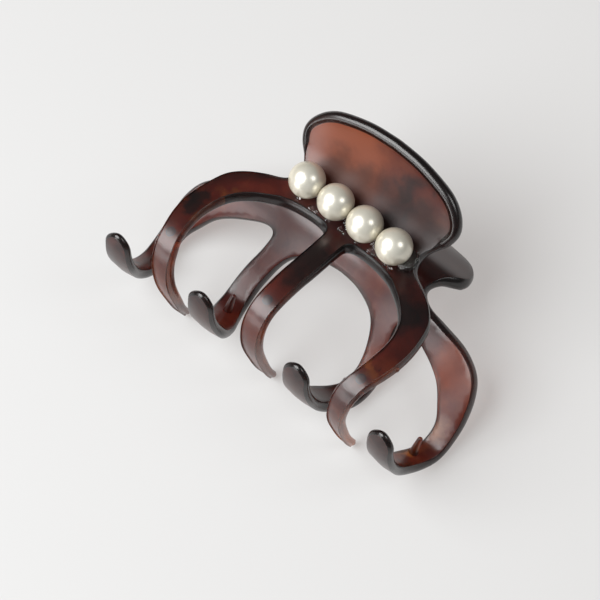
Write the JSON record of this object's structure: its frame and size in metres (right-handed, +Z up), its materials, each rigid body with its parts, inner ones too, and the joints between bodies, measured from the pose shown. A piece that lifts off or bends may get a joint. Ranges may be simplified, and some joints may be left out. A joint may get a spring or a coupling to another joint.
{
  "type": "claw clip",
  "caption": "Large tortoiseshell hair claw clip: two curved, interleaving pronged jaws on a sprung hinge, with a row of faux pearls across the front jaw.",
  "frame": {"origin": "centre of the bounding box in X and Y, on the surface that the closed clip lies on", "axes": "+X along the hinge pin, +Y towards the finger tabs, +Z up, towards the front jaw and its pearls"},
  "size_m": [0.0824, 0.0536, 0.0408],
  "materials": {
    "tortoise_plastic": "translucent red-brown tortoiseshell, satin faces and glossy edges",
    "pearl": "ivory nacre coating",
    "clear_adhesive": "clear glossy set glue",
    "pin_steel": "plain drawn wire",
    "spring_steel": "bright spring wire"
  },
  "bodies": {
    "back_half": {"back_jaw": "tortoise_plastic", "hinge_pin": "pin_steel", "torsion_spring": "spring_steel"},
    "front_half": {"front_jaw": "tortoise_plastic", "pearl_adhesive": "clear_adhesive", "pearl_1": "pearl", "pearl_2": "pearl", "pearl_3": "pearl", "pearl_4": "pearl"}
  },
  "joints": [
    {"name": "jaw_hinge", "type": "hinge", "parent": "back_half", "child": "front_half", "pos_m": [0, 0.01182, 0.02158], "axis": [-1, 0, 0], "range_deg": [0, 60], "stiffness_Nm_per_rad": 0.12, "springref_deg": -51.57, "deforming": ["torsion_spring"]}
  ]
}
